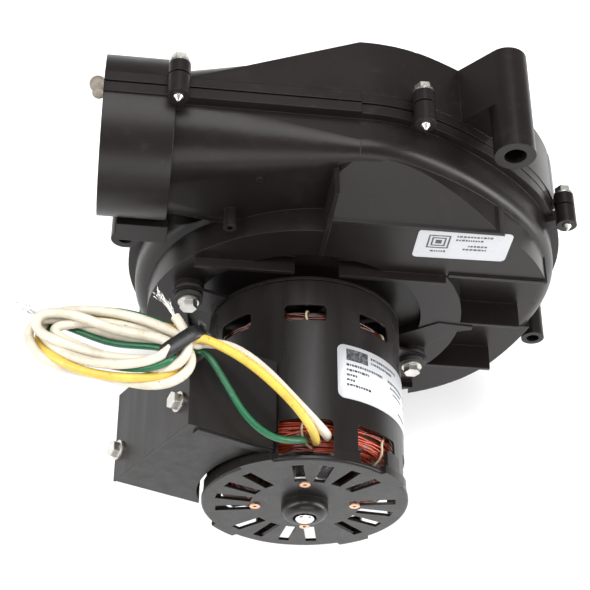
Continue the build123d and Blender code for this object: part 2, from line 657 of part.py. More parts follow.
def main():
    os.makedirs("parts", exist_ok=True)
    outer, inner = housing_volume(0), housing_volume(WALL)
    write("back_shell", back_shell(outer, inner))
    write("front_shell", front_shell(outer, inner))
    write("rim_seal", *rim_seal())
    write("rim_screws", *rim_screws())
    write("inlet_ring", inlet_ring())
    write("mounting_gasket", ring(57.9, 50.1, 0, 1.2))
    write("shaft_seal", ring(20, SHAFT_R + 0.06, 57.4, 59))
    write("housing_label", housing_label())
    write("motor_shell", motor_shell())
    write("end_bell", end_bell())
    write("mount_grommets", *grommets())
    write("motor_mount_screws", *motor_mount_screws())
    write("end_cap", end_cap())
    write("cap_rivets", *cap_rivets())
    write("bearing_retainer", bearing_retainer(153.9))
    write("front_bearing", sleeve_bearing(7.0, 62.5, 69))
    write("rear_bearing", sleeve_bearing(8.4, 152, 157.5))
    write("stator_core", stator_core())
    write("stator_winding", stator_winding())
    write("through_bolts", *through_bolts())
    write("thermal_protector", thermal_protector())
    write("motor_label", motor_label())
    write("shaft", shaft())
    write("rotor_core", rotor_core())
    write("rotor_end_rings", *rotor_end_rings())
    write("thrust_washers", *thrust_washers())
    write("cooling_fan", cooling_fan())
    write("impeller_hub", impeller_hub())
    write("impeller_set_screw", impeller_set_screw())
    write("impeller_backplate", impeller_backplate())
    write("impeller_shroud", impeller_shroud())
    write("impeller_blades", *impeller_blades())
    write("terminal_box", terminal_box())
    write("box_cover", box_cover())
    write("box_screws", *box_screws())
    write("ground_screw", ground_screw())
    write("white_lead", lead("white_lead", WHITE, WHITE_D))
    write("yellow_lead", lead("yellow_lead", YELLOW, YELLOW_D))
    write("green_lead", lead("green_lead", GREEN, GREEN_D))
    write("lead_coil", lead_coil())
    write("cable_tie", cable_tie())
    write("lead_ends", *lead_ends())


main()
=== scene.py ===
import math
import random

import bmesh
import bpy
import numpy as np
from mathutils import Matrix, Vector


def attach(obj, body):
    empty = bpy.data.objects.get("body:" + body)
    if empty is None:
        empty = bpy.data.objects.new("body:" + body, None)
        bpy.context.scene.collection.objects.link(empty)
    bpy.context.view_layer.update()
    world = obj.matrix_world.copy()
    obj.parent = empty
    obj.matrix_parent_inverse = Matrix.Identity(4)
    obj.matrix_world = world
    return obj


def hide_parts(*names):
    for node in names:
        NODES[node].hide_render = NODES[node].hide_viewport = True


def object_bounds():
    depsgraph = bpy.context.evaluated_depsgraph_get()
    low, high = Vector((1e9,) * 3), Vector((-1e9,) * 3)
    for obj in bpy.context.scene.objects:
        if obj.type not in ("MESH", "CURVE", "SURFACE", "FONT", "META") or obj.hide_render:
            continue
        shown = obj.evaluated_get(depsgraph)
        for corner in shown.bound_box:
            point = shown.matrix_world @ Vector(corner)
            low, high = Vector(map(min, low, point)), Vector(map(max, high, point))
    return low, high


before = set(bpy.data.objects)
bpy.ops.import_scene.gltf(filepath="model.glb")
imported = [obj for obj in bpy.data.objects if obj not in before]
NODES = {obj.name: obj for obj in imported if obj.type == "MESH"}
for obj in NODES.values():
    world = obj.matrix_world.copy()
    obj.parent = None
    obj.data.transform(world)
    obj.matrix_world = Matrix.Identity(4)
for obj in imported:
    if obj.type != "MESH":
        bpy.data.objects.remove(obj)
CAD_LOW, CAD_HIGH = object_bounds()
MM = 0.001

# Places below are given as on the bench, in mm: x to the right, y up, and a out along the shaft from
# the mounting plane. bench() turns them into the frame's metres.


def bench(x, y, a):
    return Vector((x, -a, y)) * MM


def polar(radius, degrees, a):
    """A bench place at that radius and angle round the shaft."""
    turn = math.radians(degrees)
    return bench(radius * math.cos(turn), radius * math.sin(turn), a)


# ---------------------------------------------------------------- camera

CAMERA_PLACE = (-0.0787, -0.4149, 0.5672)
CAMERA_LOOK, CAMERA_UP = (0.1103, 0.5344, -0.8380), (-0.0697, 0.8453, 0.5298)
CAMERA_LENS, CAMERA_SENSOR = 91.5, 36.0


def make_camera():
    look = Vector(CAMERA_LOOK).normalized()
    right = look.cross(Vector(CAMERA_UP)).normalized()
    turn = Matrix((right, right.cross(look), -look)).transposed()
    data = bpy.data.cameras.new("camera")
    data.sensor_width = CAMERA_SENSOR
    data.lens = CAMERA_LENS
    camera = bpy.data.objects.new("camera", data)
    camera.matrix_world = Matrix.Translation(CAMERA_PLACE) @ turn.to_4x4()
    bpy.context.scene.collection.objects.link(camera)
    bpy.context.scene.camera = camera


# ---------------------------------------------------------------- node materials

class Shader:
    """A material under construction. Colours are linear RGB."""

    def __init__(self, name):
        self.made = bpy.data.materials.new(name)
        self.made.use_nodes = True
        self.tree = self.made.node_tree
        self.bsdf = self.tree.nodes["Principled BSDF"]
        self.place = self.node("ShaderNodeTexCoord").outputs["Object"]

    def node(self, kind, settings=None, **inputs):
        node = self.tree.nodes.new(kind)
        for key, value in (settings or {}).items():
            setattr(node, key, value)
        for key, value in inputs.items():
            self.feed(node.inputs[key.replace("_", " ")], value)
        return node

    def feed(self, socket, value):
        if isinstance(value, bpy.types.NodeSocket):
            self.tree.links.new(value, socket)
        elif isinstance(value, tuple) and len(value) == 3 and socket.type == "RGBA":
            socket.default_value = (*value, 1.0)
        else:
            socket.default_value = value

    def stretched(self, x, y, z):
        """Object coordinates scaled along each axis."""
        mapping = self.node("ShaderNodeMapping", Vector=self.place)
        mapping.inputs["Scale"].default_value = (x, y, z)
        return mapping.outputs["Vector"]

    def noise(self, scale, detail=4.0, rough=0.55, place=None):
        made = self.node("ShaderNodeTexNoise", Scale=scale, Detail=detail, Roughness=rough,
                         Vector=place or self.place)
        return made.outputs["Fac"]

    def ramp(self, value, low, high, start=0.0, end=1.0):
        """The value stretched so that low..high becomes start..end."""
        made = self.node("ShaderNodeMapRange", Value=value)
        made.inputs["From Min"].default_value = low
        made.inputs["From Max"].default_value = high
        made.inputs["To Min"].default_value = start
        made.inputs["To Max"].default_value = end
        return made.outputs["Result"]

    def math(self, operation, a, b=0.0):
        made = self.node("ShaderNodeMath", {"operation": operation})
        self.feed(made.inputs[0], a)
        self.feed(made.inputs[1], b)
        return made.outputs[0]

    def mix(self, share, a, b):
        made = self.node("ShaderNodeMix", {"data_type": "RGBA"})
        self.feed(made.inputs["Factor"], share)
        self.feed(made.inputs[6], a)
        self.feed(made.inputs[7], b)
        return made.outputs[2]

    def bump(self, *layers, edge=0.0):
        """Stacks (height, strength, depth in mm) layers over a softened edge of that radius in mm."""
        normal = None
        if edge:
            normal = self.node("ShaderNodeBevel", {"samples": 4}, Radius=edge * MM).outputs["Normal"]
        for height, strength, depth in layers:
            made = self.node("ShaderNodeBump", Height=height, Strength=strength, Distance=depth * MM)
            if normal:
                self.feed(made.inputs["Normal"], normal)
            normal = made.outputs["Normal"]
        self.feed(self.bsdf.inputs["Normal"], normal)

    def surface(self, **inputs):
        for key, value in inputs.items():
            self.feed(self.bsdf.inputs[key.replace("_", " ")], value)
        return self.made


def moulded_plastic():
    """Black glass-filled polymer with a fine grain, flow marks and dry scuffs."""
    s = Shader("moulded_plastic")
    cloud = s.noise(22, 5)
    scuff = s.ramp(s.noise(70, 8, 0.7, s.stretched(1, 1.6, 0.6)), 0.56, 0.78)
    dust = s.ramp(s.noise(380, 3), 0.60, 0.80)
    base = s.mix(cloud, (0.0068, 0.0052, 0.0048), (0.0125, 0.0100, 0.0092))
    worn = s.mix(s.math("MULTIPLY", scuff, 0.40), base, (0.030, 0.025, 0.023))
    colour = s.mix(s.math("MULTIPLY", dust, 0.12), worn, (0.070, 0.060, 0.052))
    rough = s.math("ADD", s.ramp(cloud, 0.3, 0.7, 0.27, 0.38), s.math("MULTIPLY", scuff, 0.12))
    s.bump((s.noise(14, 2), 0.25, 1.2), (s.noise(1500, 2), 0.20, 0.05), edge=0.5)
    return s.surface(Base_Color=colour, Roughness=rough, Specular_IOR_Level=0.22)


def sealant():
    """Cured grey-brown joint sealant."""
    s = Shader("sealant")
    lump = s.noise(260, 5)
    colour = s.mix(lump, (0.10, 0.082, 0.064), (0.24, 0.205, 0.165))
    s.bump((lump, 0.9, 0.5))
    return s.surface(Base_Color=colour, Roughness=s.ramp(lump, 0.3, 0.7, 0.35, 0.6))


def plated_steel(name, tint, rough, blotch=90):
    """Bright plated steel: a mottled tint, rubbed high spots and fine scratches."""
    s = Shader(name)
    patch = s.noise(blotch, 6)
    scratch = s.noise(600, 2, 0.5, s.stretched(1, 8, 1))
    dull = tuple(0.62 * c for c in tint)
    colour = s.mix(s.ramp(patch, 0.35, 0.65), dull, tint)
    s.bump((scratch, 0.15, 0.05), (patch, 0.2, 0.15), edge=0.35)
    return s.surface(Base_Color=colour, Metallic=1.0,
                     Roughness=s.math("ADD", s.ramp(patch, 0.3, 0.7, rough, rough + 0.16),
                                      s.math("MULTIPLY", scratch, 0.08)))


def galvanised():
    """Zinc-coated sheet with its spangle."""
    s = Shader("galvanised")
    crystal = s.node("ShaderNodeTexVoronoi", Scale=180, Vector=s.place).outputs["Color"]
    grey = s.node("ShaderNodeSeparateColor", Color=crystal).outputs["Red"]
    colour = s.mix(grey, (0.38, 0.39, 0.40), (0.66, 0.67, 0.68))
    s.bump((s.noise(900, 2), 0.1, 0.05), edge=0.3)
    return s.surface(Base_Color=colour, Metallic=1.0, Roughness=s.ramp(grey, 0, 1, 0.28, 0.5))


def painted_steel(name, rough, peel):
    """Black enamel on steel: orange peel, faint runs down the shell, and rubbed spots."""
    s = Shader(name)
    cloud = s.noise(30, 4)
    streak = s.noise(55, 4, 0.6, s.stretched(3.0, 0.25, 3.0))
    rub = s.ramp(s.noise(150, 8, 0.75), 0.62, 0.80)
    base = s.mix(cloud, (0.0065, 0.0054, 0.0050), (0.0125, 0.0105, 0.0098))
    colour = s.mix(s.math("MULTIPLY", rub, 0.30), base, (0.040, 0.035, 0.032))
    level = s.math("ADD", s.ramp(streak, 0.3, 0.7, rough, rough + 0.14), s.math("MULTIPLY", rub, 0.12))
    s.bump((s.noise(peel, 2), 0.18, 0.12), (s.noise(1700, 1), 0.10, 0.03), edge=0.35)
    return s.surface(Base_Color=colour, Roughness=level, Specular_IOR_Level=0.24, Coat_Weight=0.06,
                     Coat_Roughness=0.2)


def insulation(name, pale, dark, speck, rough=0.34):
    """PVC lead insulation: handled, a little dirty, with faint worn marking ink."""
    s = Shader(name)
    grime = s.ramp(s.noise(75, 7, 0.7), 0.46, 0.75)
    ink = s.ramp(s.noise(800, 3, 0.6), 0.635, 0.70)
    ribbon = s.ramp(s.noise(60, 2), 0.5, 0.58)
    colour = s.mix(s.math("MULTIPLY", grime, 0.75), pale, dark)
    colour = s.mix(s.math("MULTIPLY", s.math("MULTIPLY", ink, ribbon), 0.75), colour, speck)
    s.bump((s.noise(420, 3), 0.18, 0.12), (s.noise(60, 2), 0.2, 0.4))
    return s.surface(Base_Color=colour, Roughness=s.ramp(grime, 0, 1, rough, rough + 0.18),
                     Subsurface_Weight=0.08, Subsurface_Radius=(0.002, 0.0015, 0.001))


def flexible(name, low, high, rough, grain=500, strength=0.3):
    """Rubber, nylon, fibre and other plain soft stock, with its grain."""
    s = Shader(name)
    fleck = s.noise(grain, 5, 0.65)
    cloud = s.noise(60, 4)
    share = s.math("ADD", s.math("MULTIPLY", fleck, 0.6), s.math("MULTIPLY", cloud, 0.4))
    s.bump((fleck, strength, 0.12), edge=0.3)
    return s.surface(Base_Color=s.mix(s.ramp(share, 0.35, 0.65), low, high),
                     Roughness=s.ramp(fleck, 0.3, 0.7, rough, rough + 0.15))


def laminated():
    """Steel laminations seen on edge, with varnish and a little rust."""
    s = Shader("laminated")
    sheets = s.node("ShaderNodeTexWave", {"wave_type": "BANDS", "bands_direction": "Y"},
                    Scale=320, Distortion=0.4, Vector=s.place).outputs["Fac"]
    rust = s.ramp(s.noise(120, 6), 0.5, 0.72)
    base = s.mix(sheets, (0.05, 0.048, 0.045), (0.24, 0.23, 0.22))
    s.bump((sheets, 0.6, 0.12))
    return s.surface(Base_Color=s.mix(s.math("MULTIPLY", rust, 0.6), base, (0.11, 0.045, 0.02)),
                     Metallic=0.7, Roughness=s.ramp(rust, 0, 1, 0.38, 0.7))


def enamelled_wire(name, dark, bright, varnish):
    """Enamelled magnet wire under baked varnish."""
    s = Shader(name)
    tone = s.noise(170, 5)
    drip = s.ramp(s.noise(90, 4), 0.50, 0.70)
    base = s.mix(tone, dark, bright)
    s.bump((tone, 0.25, 0.2))
    return s.surface(Base_Color=s.mix(s.math("MULTIPLY", drip, 0.75), base, varnish),
                     Metallic=0.25, Roughness=s.ramp(tone, 0.3, 0.7, 0.22, 0.38), Coat_Weight=0.4,
                     Coat_Roughness=0.12)


def turned_steel():
    """The ground shaft, with fine rings round it."""
    s = Shader("turned_steel")
    rings = s.noise(2600, 2, 0.5, s.stretched(0.05, 1, 0.05))
    stain = s.noise(120, 5)
    s.bump((rings, 0.2, 0.03), edge=0.3)
    return s.surface(Base_Color=s.mix(stain, (0.46, 0.44, 0.42), (0.74, 0.73, 0.72)), Metallic=1.0,
                     Roughness=s.ramp(rings, 0.3, 0.7, 0.16, 0.3))


def make_materials():
    """One finish for each of the record's material slots."""
    return {
        "housing_plastic": moulded_plastic(),
        "seal": sealant(),
        "zinc": plated_steel("zinc_plate", (0.74, 0.72, 0.68), 0.22),
        "aluminium": plated_steel("aluminium", (0.78, 0.78, 0.78), 0.30),
        "gasket": flexible("fibre_gasket", (0.22, 0.21, 0.19), (0.46, 0.44, 0.40), 0.8, 700, 0.6),
        "label": flexible("label_stock", (0.50, 0.51, 0.535), (0.56, 0.57, 0.59), 0.34, 900, 0.05),
        "motor_paint": painted_steel("motor_enamel", 0.24, 480),
        "grommet": flexible("grommet_rubber", (0.010, 0.010, 0.010), (0.028, 0.027, 0.026), 0.6),
        "rivet_copper": plated_steel("coppered_steel", (0.83, 0.52, 0.36), 0.25, 300),
        "galvanised": galvanised(),
        "bronze": plated_steel("sintered_bronze", (0.56, 0.36, 0.17), 0.40, 500),
        "lamination": laminated(),
        # The CAD windings' finish: the red magnet wire darkened to a deep brown, painted shade for the
        # windings inside the motor's windows.
        "copper": enamelled_wire("painted_shade_winding", (0.030, 0.008, 0.004), (0.085, 0.022, 0.010),
                                 (0.012, 0.006, 0.004)),
        "protector": flexible("moulded_phenolic", (0.05, 0.035, 0.025), (0.11, 0.08, 0.055), 0.45),
        "box_paint": painted_steel("box_enamel", 0.36, 650),
        "white_pvc": insulation("white_pvc", (0.60, 0.555, 0.455), (0.36, 0.30, 0.22), (0.07, 0.06, 0.055)),
        "yellow_pvc": insulation("yellow_pvc", (0.66, 0.46, 0.075), (0.40, 0.25, 0.05), (0.12, 0.08, 0.03)),
        "green_pvc": insulation("green_pvc", (0.006, 0.105, 0.040), (0.004, 0.050, 0.022),
                                (0.10, 0.17, 0.12)),
        "nylon": flexible("black_nylon", (0.008, 0.008, 0.009), (0.022, 0.021, 0.021), 0.33, 260, 0.35),
        "tin": plated_steel("tinned_copper", (0.84, 0.83, 0.80), 0.18, 600),
        "shaft_steel": turned_steel(),
    }


def paint_nodes(finishes):
    """Gives every CAD node the finish of its slot, which its packed material is named after."""
    for node in NODES.values():
        slot = node.data.materials[0].name.split(".")[0]
        node.data.materials[0] = finishes[slot]


# ---------------------------------------------------------------- leads and their coil

WHITE_D, YELLOW_D, GREEN_D = 3.9, 3.6, 2.7
# From inside the motor's window to the tie.
WHITE = ((3.9, 38, 142.9), (2.7, 46, 146.3), (-11.5, 55.5, 136.9), (-24.8, 60.3, 125.6),
         (-37, 63, 118.8), (-48.3, 67, 120.6))
YELLOW = ((-0.6, 38, 145.6), (-3.2, 52.7, 149), (-12.2, 59.3, 140.2), (-26.3, 64.3, 129.6),
          (-38, 67.5, 123.6), (-49.5, 71.5, 121))
GREEN = ((-4.6, 38, 145.2), (-6.8, 48.3, 150.6), (-19, 53.5, 154), (-30.5, 56.8, 147),
         (-38.7, 60.6, 134.8), (-45.8, 63.2, 124.2), (-48.9, 63.2, 121.9))
COIL_CENTRE = Vector((-84.4, 61.5, 120.0))
COIL_LEFT = Vector((-0.949, -0.175, -0.26)).normalized()
COIL_OUT = (Vector((0, 1, 0)) - COIL_LEFT * COIL_LEFT.y).normalized()
COIL_DOWN = COIL_OUT.cross(COIL_LEFT)
COIL_LONG, COIL_SHORT, COIL_SHIFT = 32.2, 12.75, 0.75   # the middle turn's half-axes, and its drop
TIE = 209.1                                             # the turn at which the tie holds the leads
TURN_STEP = 7.5                                         # degrees between the coil's points

# Each lead's lanes: (turn in degrees, how far outside the middle turn, how far in front of the coil's
# plane), in mm. The tie is at 209 + 360 n, the upper side at 270, the far end at 360, the lower side at
# 450 and the near end at 535.
WHITE_LANES = (
    (TIE - 4, 4.6, 0.2), (TIE + 4, 0.2, 4.2), (272, 0.2, 4.4), (352, 0.5, -0.5), (395, -2.0, 0.0),
    (450, 0.6, 3.6), (500, -2.5, 4.6), (540, -4.4, 4.4),
    (TIE + 356, -4.6, 4.2), (TIE + 364, -4.6, 4.2), (632, -8.6, 2.2), (690, 0.0, 5.5), (712, 2.6, 5.0),
    (742, 0.5, 0.5), (765, -3.2, 1.5), (810, -4.6, 2.0), (860, -3.0, 1.2), (895, -0.6, 0.5),
    (TIE + 716, -3.0, 0.0), (TIE + 724, -2.9, -0.2), (992, -10.2, -1.6), (1050, -1.0, 3.0), (1100, 5.8, 2.0),
    (1130, 3.0, -1.0), (1170, -0.6, -2.8), (1210, 3.6, -2.2), (1255, 5.6, -1.2),
    (TIE + 1076, 1.0, 0.0), (TIE + 1084, 0.6, -0.2), (1352, -4.2, 1.9), (1435, -6.5, 2.0), (1490, -8.2, 0.4),
    (1530, -7.4, -0.8), (1580, -2.0, 0.6), (1615, 2.4, 1.6),
    (TIE + 1436, 1.6, 4.2), (TIE + 1444, 3.0, 4.6), (TIE + 1464, 5.6, 5.6),
)
YELLOW_LANES = (
    (TIE - 4, 4.6, 4.4), (TIE + 4, 4.6, 0.0), (272, -1.0, -0.2), (345, 0.0, -3.4), (382, 1.6, -2.0),
    (450, 3.6, 0.2), (505, 2.0, -1.6), (540, 1.6, -1.8), (TIE + 356, 0.6, -4.2), (TIE + 364, 0.8, -4.2),
    (TIE + 384, 5.6, -0.2),
)
GREEN_LANES = (
    (TIE - 4, 4.9, -4.2), (TIE + 4, 5.0, -3.4), (245, 5.0, 0.0), (275, 4.6, 0.8), (335, -1.0, -2.6),
    (378, -5.0, -3.0), (415, -3.8, -1.0), (452, -2.2, 0.2), (490, 0.4, 3.0), (535, -2.2, 5.0),
    (TIE + 354, -6.8, 0.8), (TIE + 366, -6.6, 0.2), (632, -11.2, -2.8), (676, -5.0, -0.4),
)


def coil_place(turn, rho, front):
    """The bench place at that turn of the coil and in that lane."""
    angle = math.radians(turn)
    along = (COIL_LONG + rho) * math.cos(angle)
    down = COIL_SHIFT + (COIL_SHORT + rho) * math.sin(angle)
    return COIL_CENTRE + COIL_LEFT * along + COIL_DOWN * down + COIL_OUT * front


def lane_at(lanes, turn):
    """The lane at a turn, changing smoothly from each listed one to the next."""
    for (t0, r0, f0), (t1, r1, f1) in zip(lanes, lanes[1:]):
        if turn <= t1:
            share = max(0.0, (turn - t0) / (t1 - t0))
            share = share * share * (3 - 2 * share)
            return r0 + (r1 - r0) * share, f0 + (f1 - f0) * share
    return lanes[-1][1:]


def coil_turns(lanes):
    """A lead's points round the coil, and which of them the tie holds."""
    first, last = lanes[0][0], lanes[-1][0]
    count = round((last - first) / TURN_STEP)
    places, held = [], []
    for i in range(count + 1):
        turn = first + (last - first) * i / count
        places.append(coil_place(turn, *lane_at(lanes, turn)))
        held.append(abs((turn - TIE + 180) % 360 - 180) < 6)
    return places, held


def settle(strands, rounds=160):
    """Eases the strands apart where they press into each other, keeping them smooth. Held points stay."""
    points = np.array([p for s in strands for p in s["places"]], float)
    radius = np.array([s["radius"] for s in strands for _ in s["places"]])
    held = np.array([h for s in strands for h in s["held"]])
    strand = np.array([k for k, s in enumerate(strands) for _ in s["places"]])
    order = np.arange(len(points))
    near = (strand[:, None] == strand[None, :]) & (abs(order[:, None] - order[None, :]) < 8)
    reach = (radius[:, None] + radius[None, :]) * 1.04
    inner = np.zeros(len(points), bool)
    inner[1:-1] = (strand[1:-1] == strand[:-2]) & (strand[1:-1] == strand[2:])
    free = ~held
    start = points.copy()
    for k in range(rounds):
        gap = points[:, None, :] - points[None, :, :]
        far = np.linalg.norm(gap, axis=2) + 1e-6
        push = np.where(near, 0.0, np.maximum(0.0, reach - far))
        move = (gap / far[:, :, None] * push[:, :, None]).sum(1) * 0.30
        move[~free] = 0.0
        points += move
        calm = 0.22 if k < rounds - 12 else 0.08
        middle = points.copy()
        middle[1:-1] = (points[:-2] + points[2:]) / 2
        smooth = free & inner
        points[smooth] += (middle[smooth] - points[smooth]) * calm
        points[free] += (start[free] - points[free]) * 0.015
    made, at = [], 0
    for s in strands:
        count = len(s["places"])
        made.append(evened(points[at:at + count]))
        at += count
    return made


def evened(points):
    """The same line with its points evenly spaced and its small kinks eased."""
    for _ in range(4):
        points[1:-1] = (points[:-2] + points[1:-1] * 2 + points[2:]) / 4
    steps = np.linalg.norm(np.diff(points, axis=0), axis=1)
    along = np.concatenate(([0.0], np.cumsum(steps)))
    even = np.linspace(0.0, along[-1], len(points))
    columns = [np.interp(even, along, points[:, k]) for k in range(3)]
    return [Vector(p) for p in zip(*columns)]


def make_lead(name, slot, route, turns, diameter, finishes):
    """A lead as one smooth NURBS line: its given route and then its turns of the coil."""
    data = bpy.data.curves.new(name, "CURVE")
    data.dimensions = "3D"
    data.bevel_depth = diameter / 2 * MM
    data.bevel_resolution = 5
    data.resolution_u = 4
    data.use_fill_caps = True
    spline = data.splines.new("NURBS")
    places = [bench(*p) for p in route] + [bench(*p) for p in turns]
    spline.points.add(len(places) - 1)
    for point, place in zip(spline.points, places):
        point.co = (*place, 1.0)
    spline.order_u = 3
    spline.use_endpoint_u = True
    lead = bpy.data.objects.new(name, data)
    data.materials.append(finishes[slot])
    bpy.context.scene.collection.objects.link(lead)
    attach(lead, "housing")
    return lead


def line_of(curve):
    """The points down the middle of a lead, in metres."""
    bare = bpy.data.objects.new("bare", curve.data.copy())
    bare.data.bevel_depth = 0.0
    mesh = bpy.data.meshes.new_from_object(bare)
    line = [v.co.copy() for v in mesh.vertices]
    bpy.data.meshes.remove(mesh)
    bpy.data.curves.remove(bare.data)
    return line


def length_of(line):
    return sum((b - a).length for a, b in zip(line, line[1:]))


# ---------------------------------------------------------------- mesh tools

def new_piece(name, mesh, slot, body, finishes, finish=None, smooth=True):
    piece = bpy.data.objects.new(name, mesh)
    mesh.materials.append(finish or finishes[slot])
    if smooth:
        for face in mesh.polygons:
            face.use_smooth = True
    bpy.context.scene.collection.objects.link(piece)
    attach(piece, body)
    return piece


def frames_along(places):
    """A direction and two steady cross directions at each place of a line."""
    made = []
    side = None
    for i, place in enumerate(places):
        before, after = places[max(i - 1, 0)], places[min(i + 1, len(places) - 1)]
        ahead = (after - before).normalized()
        if side is None:
            side = ahead.orthogonal().normalized()
        side = (side - ahead * side.dot(ahead)).normalized()
        made.append((place, side.copy(), ahead.cross(side)))
    return made


def add_tube(bm, places, radius, sides=8, closed=False):
    """A tube along the places; radius is a number or one for each place."""
    rings = []
    for i, (place, side, up) in enumerate(frames_along(places)):
        r = radius[i] if isinstance(radius, (list, tuple)) else radius
        ring = []
        for k in range(sides):
            turn = 2 * math.pi * k / sides
            ring.append(bm.verts.new(place + (side * math.cos(turn) + up * math.sin(turn)) * r))
        rings.append(ring)
    pairs = list(zip(rings, rings[1:]))
    if closed:
        pairs.append((rings[-1], rings[0]))
    for a, b in pairs:
        for k in range(sides):
            bm.faces.new((a[k], a[(k + 1) % sides], b[(k + 1) % sides], b[k]))
    if not closed:
        bm.faces.new(list(reversed(rings[0])))
        bm.faces.new(rings[-1])


def mesh_from(name, bm):
    bmesh.ops.recalc_face_normals(bm, faces=bm.faces)
    mesh = bpy.data.meshes.new(name)
    bm.to_mesh(mesh)
    bm.free()
    return mesh


# ---------------------------------------------------------------- windings

# The end turns and the stack between them.
BAND_LOW, BAND_HIGH, BAND_OUT, BAND_CORNER = 85.0, 144.5, 37.5, 3.0
STACK_LOW, STACK_HIGH = 98.0, 130.0
STRANDS, STRAND_R, STRAND_STEP, STRAND_POINTS = 25, 0.42, 0.86, 120
LACES, LACE_R, LACE_REACH, LACE_OUT, LACE_POINTS = 12, 0.5, 17.5, 1.35, 22


def bundle_place(along, out, near_cap):
    """Radius and height of a place on an end turn's skin: along it from the stack, and out from it."""
    straight = (BAND_HIGH - STACK_HIGH if near_cap else STACK_LOW - BAND_LOW) - BAND_CORNER
    arc = BAND_CORNER * math.pi / 2
    if along < straight:
        radius, lift = BAND_OUT + out, along
    elif along < straight + arc:
        turn = (along - straight) / BAND_CORNER
        radius = BAND_OUT - BAND_CORNER + (BAND_CORNER + out) * math.cos(turn)
        lift = straight + (BAND_CORNER + out) * math.sin(turn)
    else:
        radius, lift = BAND_OUT - BAND_CORNER - (along - straight - arc), straight + BAND_CORNER + out
    return radius, (STACK_HIGH + lift if near_cap else STACK_LOW - lift)


def make_windings(finishes):
    """Loose strands over both end turns, and the cord that laces them; the housing end's strands are
    darkened as painted shade.
    """
    red = enamelled_wire("red_magnet_wire", (0.20, 0.016, 0.006), (0.62, 0.080, 0.026),
                         (0.05, 0.010, 0.006))
    # A deep brown copy of the red magnet wire: painted shade for the end turns that sit deep inside by the
    # housing.
    shaded_wire = enamelled_wire("painted_shade_magnet_wire", (0.035, 0.008, 0.004), (0.10, 0.022, 0.010),
                           (0.010, 0.006, 0.004))
    cord = flexible("lacing_cord", (0.34, 0.27, 0.17), (0.62, 0.53, 0.38), 0.7, 1400, 0.6)
    for near_cap, name, finish in ((True, "cap_end_strands", red), (False, "housing_end_strands", shaded_wire)):
        rng = random.Random(31 if near_cap else 47)
        bm = bmesh.new()
        for k in range(STRANDS):
            phase, waves = rng.uniform(0, 6.3), rng.choice((3, 4, 5, 7))
            sway, rise = rng.uniform(0.3, 1.1), rng.uniform(0.1, 0.6)
            places = []
            for i in range(STRAND_POINTS):
                turn = 2 * math.pi * i / STRAND_POINTS
                along = 1.2 + STRAND_STEP * k + sway * math.sin(waves * turn + phase)
                out = rise * (1 + math.sin(2 * waves * turn + phase))
                radius, a = bundle_place(max(0.8, along), out, near_cap)
                places.append(polar(radius, math.degrees(turn), a))
            add_tube(bm, places, STRAND_R * MM, 6, closed=True)
        new_piece(name, mesh_from(name, bm), "copper", "housing", finishes, finish)
        bm = bmesh.new()
        for k in range(LACES):
            start = 360 * k / LACES + rng.uniform(-5, 5)
            places = []
            for i in range(LACE_POINTS):
                t = i / (LACE_POINTS - 1)
                radius, a = bundle_place(0.8 + LACE_REACH * t, LACE_OUT, near_cap)
                places.append(polar(radius, start + 9 * math.sin(3.1 * t) + 4 * t, a))
            add_tube(bm, places, LACE_R * MM, 6)
        lacing = "cap_end_lacing" if near_cap else "housing_end_lacing"
        new_piece(lacing, mesh_from(lacing, bm), "label", "housing", finishes, cord)


# ---------------------------------------------------------------- labels

LABEL_MIDDLE, LABEL_TURN, LABEL_FACE = (57.0, 67.2), 1.5, 66.2
RATING_R, RATING_LOW, RATING_HIGH = 42.2, 101.5, 126.5
RATING_START, RATING_SPAN, RATING_CORNER = 79.0, 88.0, 3.0
RATING_STEPS, LABEL_THICK = 96, 0.2
# (start, end, height) of the rating label's rows of print.
RATING_ROWS = ((16.2, 34, 104.2), (16.2, 31, 106.4), (4.0, 24, 110.2), (4.0, 15, 112.6),
               (4.0, 9, 114.9), (4.0, 8, 117.2), (4.0, 16, 119.5), (27, 44, 110.2), (29, 40, 112.6),
               (31, 41, 114.9), (47, 56, 108.3), (47, 54, 113.1), (36, 45, 121.8))
# (start, end, height) of the housing label's rows, from its middle.
HOUSING_ROWS = ((-3.4, 12.0, 5.8), (-3.4, 8.0, 3.2), (2.4, 10.6, -0.8), (0.6, 10.4, -3.2),
                (-12.8, -6.4, -5.4))
SQUARES_MIDDLE = (-10.4, 2.0)
SQUARES = ((4.6, 0.7), (3.0, 0.7), (1.3, 1.3))          # half width and line width of each square


def printing_ink():
    s = Shader("printing_ink")
    worn = s.ramp(s.noise(900, 4), 0.45, 0.75)
    return s.surface(Base_Color=s.mix(worn, (0.022, 0.022, 0.026), (0.16, 0.16, 0.17)),
                     Roughness=s.ramp(worn, 0, 1, 0.4, 0.6))


def flat_mark(bm, x0, x1, y0, y1):
    """A printed block on the housing's label, from its middle in mm."""
    turn = math.radians(LABEL_TURN)
    corners = []
    for x, y in ((x0, y0), (x1, y0), (x1, y1), (x0, y1)):
        across = LABEL_MIDDLE[0] + x * math.cos(turn) - y * math.sin(turn)
        up = LABEL_MIDDLE[1] + x * math.sin(turn) + y * math.cos(turn)
        corners.append((across, up))
    low = [bm.verts.new(bench(x, y, LABEL_FACE - 0.02)) for x, y in corners]
    top = [bm.verts.new(bench(x, y, LABEL_FACE + 0.05)) for x, y in corners]
    close_prism(bm, low, top)


def close_prism(bm, low, top):
    count = len(low)
    bm.faces.new(list(reversed(low)))
    bm.faces.new(top)
    for k in range(count):
        bm.faces.new((low[k], low[(k + 1) % count], top[(k + 1) % count], top[k]))


